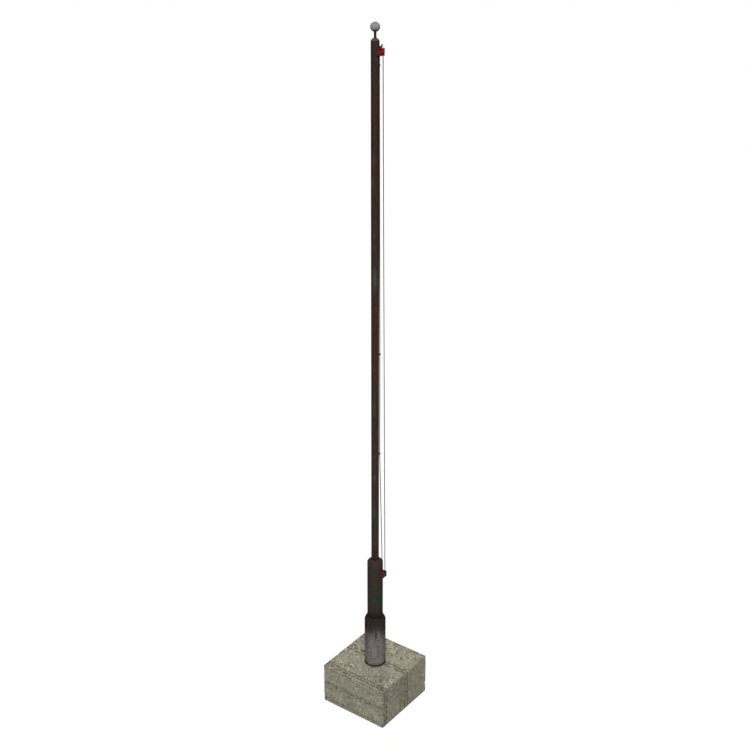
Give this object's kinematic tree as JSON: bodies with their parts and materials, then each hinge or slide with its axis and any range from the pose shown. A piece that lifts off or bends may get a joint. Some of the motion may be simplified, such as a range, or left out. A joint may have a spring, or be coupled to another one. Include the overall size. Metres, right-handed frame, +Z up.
{
  "type": "flagpole",
  "caption": "Steel flagpole of stepped tubes on a concrete block, with a ball finial and a halyard over pulley blocks.",
  "frame": {"origin": "centre of the concrete block's underside", "axes": "+Z up the pole, +X towards the side the halyard runs down"},
  "size_m": [0.9, 0.9, 8.1585],
  "materials": {
    "concrete": "rough",
    "galvanised_steel": "matte",
    "painted_steel": "satin",
    "red_paint": "satin",
    "bare_steel": "matte",
    "ball_metal": "satin",
    "sheave_iron": "matte",
    "guide_iron": "matte",
    "rope": "matte",
    "ferrule_metal": "satin"
  },
  "bodies": {
    "root": {"concrete_block": "concrete", "sleeve_foot_plate": "bare_steel", "base_sleeve": "galvanised_steel", "middle_centring_ring": "bare_steel", "middle_tube": "painted_steel", "pole_seat": "bare_steel", "upper_pole": "painted_steel", "top_cap": "painted_steel", "finial_spindle": "bare_steel", "finial_ball": "ball_metal", "head_hook": "bare_steel", "head_cheek_left": "red_paint", "head_cheek_right": "red_paint", "head_top_plate": "red_paint", "head_axle": "bare_steel", "halyard_guide_top": "guide_iron", "halyard_guide_middle": "guide_iron", "halyard_guide_lower": "guide_iron", "foot_cheek_left": "red_paint", "foot_cheek_right": "red_paint", "foot_bottom_plate": "red_paint", "foot_axle": "bare_steel", "halyard": "rope", "halyard_ferrule": "ferrule_metal"},
    "head_sheave": {"head_sheave": "sheave_iron"},
    "foot_sheave": {"foot_sheave": "sheave_iron"}
  },
  "joints": [
    {"name": "head_sheave_spin", "type": "hinge", "parent": "root", "child": "head_sheave", "pos_m": [0.076, 0, 7.875], "axis": [0, 1, 0], "continuous": true},
    {"name": "foot_sheave_spin", "type": "hinge", "parent": "root", "child": "foot_sheave", "pos_m": [0.1257, 0, 1.82], "axis": [0, 1, 0], "continuous": true}
  ],
  "couplings": [
    {"joint": "head_sheave_spin", "follows": "foot_sheave_spin", "ratio": 0.88095}
  ]
}
